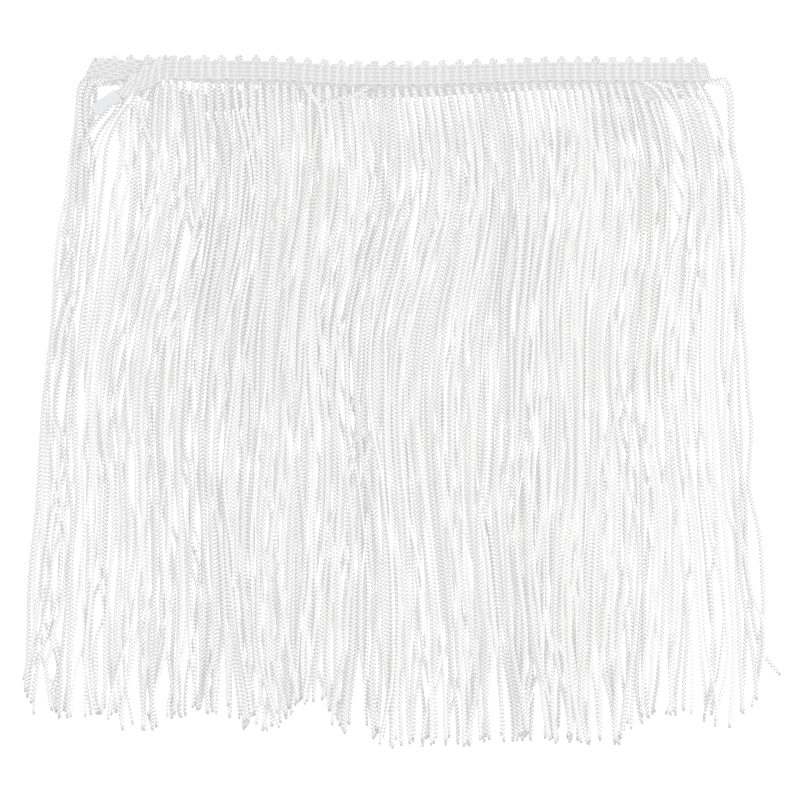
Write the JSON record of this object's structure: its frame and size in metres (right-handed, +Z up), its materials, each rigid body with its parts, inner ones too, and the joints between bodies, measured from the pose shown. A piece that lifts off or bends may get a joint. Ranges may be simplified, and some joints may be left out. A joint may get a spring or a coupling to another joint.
{
  "type": "chainette fringe trim",
  "caption": "Cut length of white chainette fringe, folded flat upon itself, with a ribbed picot heading, a taped cut end and long loose cords spread out below it.",
  "frame": {"origin": "on the surface under the middle of the whole trim's outline", "axes": "+X along the heading, to the right as seen from above; +Y from the cut tips up to the heading; +Z up from the surface it lies on"},
  "size_m": [0.3422, 0.3138, 0.0069],
  "materials": {
    "heading_yarn": "knitted rayon, soft sheen",
    "chainette_cord": "tightly knitted rayon chainette, silky sheen",
    "clear_tape": "clear adhesive tape, glossy"
  },
  "bodies": {
    "root": {"heading": "heading_yarn", "end_tape": "clear_tape", "fringe_top": "chainette_cord", "fringe_middle": "chainette_cord", "fringe_bottom": "chainette_cord"}
  },
  "joints": []
}
